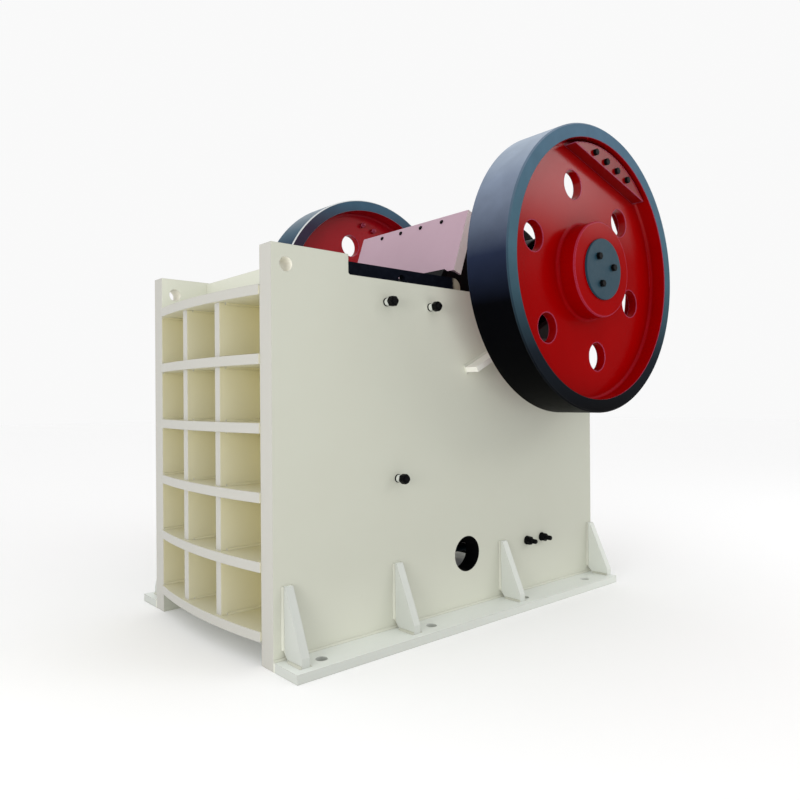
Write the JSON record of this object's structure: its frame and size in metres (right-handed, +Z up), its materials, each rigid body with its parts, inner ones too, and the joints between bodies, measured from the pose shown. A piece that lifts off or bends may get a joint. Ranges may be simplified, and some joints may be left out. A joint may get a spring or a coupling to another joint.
{
  "type": "jaw crusher",
  "caption": "Stationary jaw crusher with a ribbed box frame, toothed fixed and swing jaws, an eccentric shaft between two flywheels, and a toggle plate behind.",
  "frame": {"origin": "on the ground, midway between the four outer foundation bolts", "axes": "+Z up; -Y towards the ribbed front wall; +X along the shaft towards the flywheel that the picture shows nearest"},
  "size_m": [2.546, 2.8929, 2.908],
  "materials": {
    "frame_paint": "satin cream paint on welded plate",
    "wheel_paint": "glossy red paint with slate-black rims",
    "jaw_paint": "red paint on a casting",
    "guard_paint": "red paint washed to a dusty pink",
    "liner_steel": "near-black cast manganese steel",
    "dark_steel": "dark slate paint",
    "bare_steel": "machined steel",
    "toggle_iron": "grey cast iron"
  },
  "bodies": {
    "frame": {"right_side_plate": "frame_paint", "right_base_flange": "frame_paint", "right_gussets": "frame_paint", "right_bearing_seat": "frame_paint", "right_bearing_housing": "dark_steel", "right_bearing_cap": "dark_steel", "right_bearing_cover": "dark_steel", "right_upper_cheek_plate": "liner_steel", "right_lower_cheek_plate": "liner_steel", "left_side_plate": "frame_paint", "left_base_flange": "frame_paint", "left_gussets": "frame_paint", "left_bearing_seat": "frame_paint", "left_bearing_housing": "dark_steel", "left_bearing_cap": "dark_steel", "left_bearing_cover": "dark_steel", "left_upper_cheek_plate": "liner_steel", "left_lower_cheek_plate": "liner_steel", "front_wall": "frame_paint", "front_ribs": "frame_paint", "front_stiffeners": "frame_paint", "rear_wall": "frame_paint", "rear_ribs": "frame_paint", "rear_stiffeners": "frame_paint", "fixed_jaw_ledge": "frame_paint", "toggle_block": "frame_paint", "guide_rails": "frame_paint", "spring_cup": "frame_paint", "fixed_jaw_plate": "liner_steel", "block_toggle_seat": "bare_steel", "shim_pack": "bare_steel"},
    "rotor": {"eccentric_shaft": "bare_steel", "near_flywheel": "wheel_paint", "far_wheel": "wheel_paint", "near_counterweight": "wheel_paint", "far_counterweight": "wheel_paint", "near_end_cap": "dark_steel", "far_end_cap": "dark_steel"},
    "swing_jaw": {"swing_jaw": "jaw_paint", "swing_jaw_plate": "liner_steel", "swing_jaw_wedge": "liner_steel", "jaw_head_guard": "guard_paint", "jaw_toggle_seat": "bare_steel", "tension_rod": "dark_steel", "tension_rod_pin": "bare_steel", "tension_spring": "dark_steel", "tension_nut": "dark_steel"},
    "toggle": {"toggle_plate": "toggle_iron"}
  },
  "joints": [
    {"name": "shaft_turn", "type": "hinge", "parent": "frame", "child": "rotor", "pos_m": [0, 0.68825, 2.028], "axis": [1, 0, 0], "continuous": true},
    {"name": "jaw_swing", "type": "hinge", "parent": "frame", "child": "swing_jaw", "pos_m": [0, 0.68825, 2.028], "axis": [1, 0, 0], "range_deg": [-0.8, 0]},
    {"name": "toggle_rock", "type": "hinge", "parent": "frame", "child": "toggle", "pos_m": [0, 0.59325, 0.346], "axis": [1, 0, 0], "range_deg": [-0.9, 0]}
  ],
  "couplings": [
    {"joint": "toggle_rock", "follows": "jaw_swing", "ratio": 1.108}
  ]
}
